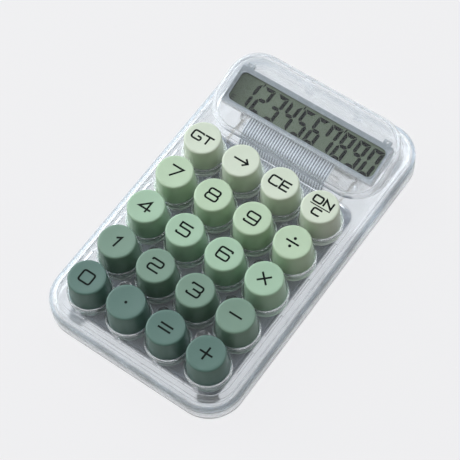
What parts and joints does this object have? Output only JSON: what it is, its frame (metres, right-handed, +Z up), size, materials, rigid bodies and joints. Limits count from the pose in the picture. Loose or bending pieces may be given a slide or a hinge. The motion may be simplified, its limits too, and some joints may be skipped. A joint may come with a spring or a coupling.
{
  "type": "desk calculator",
  "caption": "Desk calculator with a clear case, round raised keys in graded greens, a tilted display and a battery bay underneath.",
  "frame": {"origin": "middle of the footprint, on the table under the rubber feet", "axes": "+X to the user's right, +Y from the front edge to the display end, +Z up out of the keys"},
  "size_m": [0.08, 0.133, 0.0262],
  "materials": {
    "clear_shell": "clear moulded plastic, polished",
    "clear_cover": "clear moulded plastic, polished",
    "frame_plastic": "clear grey moulded plastic",
    "lcd_cell": "display glass with polariser",
    "reflector_foil": "satin foil",
    "ribbon_film": "clear film with printed carbon tracks",
    "board_laminate": "solder resist over glass laminate",
    "chip_epoxy": "poured black epoxy",
    "capacitor_ceramic": "fired ceramic",
    "dome_rubber": "translucent silicone",
    "cell_jacket": "printed steel jacket",
    "contact_metal": "nickel-plated spring steel",
    "screw_steel": "zinc-plated steel",
    "foot_rubber": "soft moulded rubber",
    "keycap_row_1": "fine satin moulded plastic",
    "keycap_row_2": "fine satin moulded plastic",
    "keycap_row_3": "fine satin moulded plastic",
    "keycap_row_4": "fine satin moulded plastic",
    "keycap_row_5": "fine satin moulded plastic"
  },
  "bodies": {
    "case": {"top_case": "clear_shell", "bottom_case": "clear_shell", "lcd_frame": "frame_plastic", "lcd_glass": "lcd_cell", "lcd_reflector": "reflector_foil", "ribbon": "ribbon_film", "main_pcb": "board_laminate", "driver_chip": "chip_epoxy", "capacitors": "capacitor_ceramic", "dome_mat": "dome_rubber", "battery": "cell_jacket", "battery_spring": "contact_metal", "battery_plus_contact": "contact_metal", "case_screws": "screw_steel", "pcb_screws": "screw_steel", "rubber_feet": "foot_rubber"},
    "battery_cover": {"battery_cover": "clear_cover"},
    "key_gt": {"key_gt": "keycap_row_1"},
    "key_back": {"key_back": "keycap_row_1"},
    "key_ce": {"key_ce": "keycap_row_1"},
    "key_on_c": {"key_on_c": "keycap_row_1"},
    "key_7": {"key_7": "keycap_row_2"},
    "key_8": {"key_8": "keycap_row_2"},
    "key_9": {"key_9": "keycap_row_2"},
    "key_divide": {"key_divide": "keycap_row_2"},
    "key_4": {"key_4": "keycap_row_3"},
    "key_5": {"key_5": "keycap_row_3"},
    "key_6": {"key_6": "keycap_row_3"},
    "key_multiply": {"key_multiply": "keycap_row_3"},
    "key_1": {"key_1": "keycap_row_4"},
    "key_2": {"key_2": "keycap_row_4"},
    "key_3": {"key_3": "keycap_row_4"},
    "key_minus": {"key_minus": "keycap_row_4"},
    "key_0": {"key_0": "keycap_row_5"},
    "key_point": {"key_point": "keycap_row_5"},
    "key_equals": {"key_equals": "keycap_row_5"},
    "key_plus": {"key_plus": "keycap_row_5"}
  },
  "joints": [
    {"name": "press_gt", "type": "slide", "parent": "case", "child": "key_gt", "axis": [0, 0, -1], "range_m": [0, 0.0022], "stiffness_N_per_m": 270, "springref_m": -0.0005, "deforming": ["dome_mat"]},
    {"name": "press_back", "type": "slide", "parent": "case", "child": "key_back", "axis": [0, 0, -1], "range_m": [0, 0.0022], "stiffness_N_per_m": 270, "springref_m": -0.0005, "deforming": ["dome_mat"]},
    {"name": "press_ce", "type": "slide", "parent": "case", "child": "key_ce", "axis": [0, 0, -1], "range_m": [0, 0.0022], "stiffness_N_per_m": 270, "springref_m": -0.0005, "deforming": ["dome_mat"]},
    {"name": "press_on_c", "type": "slide", "parent": "case", "child": "key_on_c", "axis": [0, 0, -1], "range_m": [0, 0.0022], "stiffness_N_per_m": 270, "springref_m": -0.0005, "deforming": ["dome_mat"]},
    {"name": "press_7", "type": "slide", "parent": "case", "child": "key_7", "axis": [0, 0, -1], "range_m": [0, 0.0022], "stiffness_N_per_m": 270, "springref_m": -0.0005, "deforming": ["dome_mat"]},
    {"name": "press_8", "type": "slide", "parent": "case", "child": "key_8", "axis": [0, 0, -1], "range_m": [0, 0.0022], "stiffness_N_per_m": 270, "springref_m": -0.0005, "deforming": ["dome_mat"]},
    {"name": "press_9", "type": "slide", "parent": "case", "child": "key_9", "axis": [0, 0, -1], "range_m": [0, 0.0022], "stiffness_N_per_m": 270, "springref_m": -0.0005, "deforming": ["dome_mat"]},
    {"name": "press_divide", "type": "slide", "parent": "case", "child": "key_divide", "axis": [0, 0, -1], "range_m": [0, 0.0022], "stiffness_N_per_m": 270, "springref_m": -0.0005, "deforming": ["dome_mat"]},
    {"name": "press_4", "type": "slide", "parent": "case", "child": "key_4", "axis": [0, 0, -1], "range_m": [0, 0.0022], "stiffness_N_per_m": 270, "springref_m": -0.0005, "deforming": ["dome_mat"]},
    {"name": "press_5", "type": "slide", "parent": "case", "child": "key_5", "axis": [0, 0, -1], "range_m": [0, 0.0022], "stiffness_N_per_m": 270, "springref_m": -0.0005, "deforming": ["dome_mat"]},
    {"name": "press_6", "type": "slide", "parent": "case", "child": "key_6", "axis": [0, 0, -1], "range_m": [0, 0.0022], "stiffness_N_per_m": 270, "springref_m": -0.0005, "deforming": ["dome_mat"]},
    {"name": "press_multiply", "type": "slide", "parent": "case", "child": "key_multiply", "axis": [0, 0, -1], "range_m": [0, 0.0022], "stiffness_N_per_m": 270, "springref_m": -0.0005, "deforming": ["dome_mat"]},
    {"name": "press_1", "type": "slide", "parent": "case", "child": "key_1", "axis": [0, 0, -1], "range_m": [0, 0.0022], "stiffness_N_per_m": 270, "springref_m": -0.0005, "deforming": ["dome_mat"]},
    {"name": "press_2", "type": "slide", "parent": "case", "child": "key_2", "axis": [0, 0, -1], "range_m": [0, 0.0022], "stiffness_N_per_m": 270, "springref_m": -0.0005, "deforming": ["dome_mat"]},
    {"name": "press_3", "type": "slide", "parent": "case", "child": "key_3", "axis": [0, 0, -1], "range_m": [0, 0.0022], "stiffness_N_per_m": 270, "springref_m": -0.0005, "deforming": ["dome_mat"]},
    {"name": "press_minus", "type": "slide", "parent": "case", "child": "key_minus", "axis": [0, 0, -1], "range_m": [0, 0.0022], "stiffness_N_per_m": 270, "springref_m": -0.0005, "deforming": ["dome_mat"]},
    {"name": "press_0", "type": "slide", "parent": "case", "child": "key_0", "axis": [0, 0, -1], "range_m": [0, 0.0022], "stiffness_N_per_m": 270, "springref_m": -0.0005, "deforming": ["dome_mat"]},
    {"name": "press_point", "type": "slide", "parent": "case", "child": "key_point", "axis": [0, 0, -1], "range_m": [0, 0.0022], "stiffness_N_per_m": 270, "springref_m": -0.0005, "deforming": ["dome_mat"]},
    {"name": "press_equals", "type": "slide", "parent": "case", "child": "key_equals", "axis": [0, 0, -1], "range_m": [0, 0.0022], "stiffness_N_per_m": 270, "springref_m": -0.0005, "deforming": ["dome_mat"]},
    {"name": "press_plus", "type": "slide", "parent": "case", "child": "key_plus", "axis": [0, 0, -1], "range_m": [0, 0.0022], "stiffness_N_per_m": 270, "springref_m": -0.0005, "deforming": ["dome_mat"]},
    {"name": "battery_cover_tilt", "type": "hinge", "parent": "case", "child": "battery_cover", "pos_m": [0, 0.03865, 0.0012], "axis": [-1, 0, 0], "range_deg": [0, 75]}
  ]
}
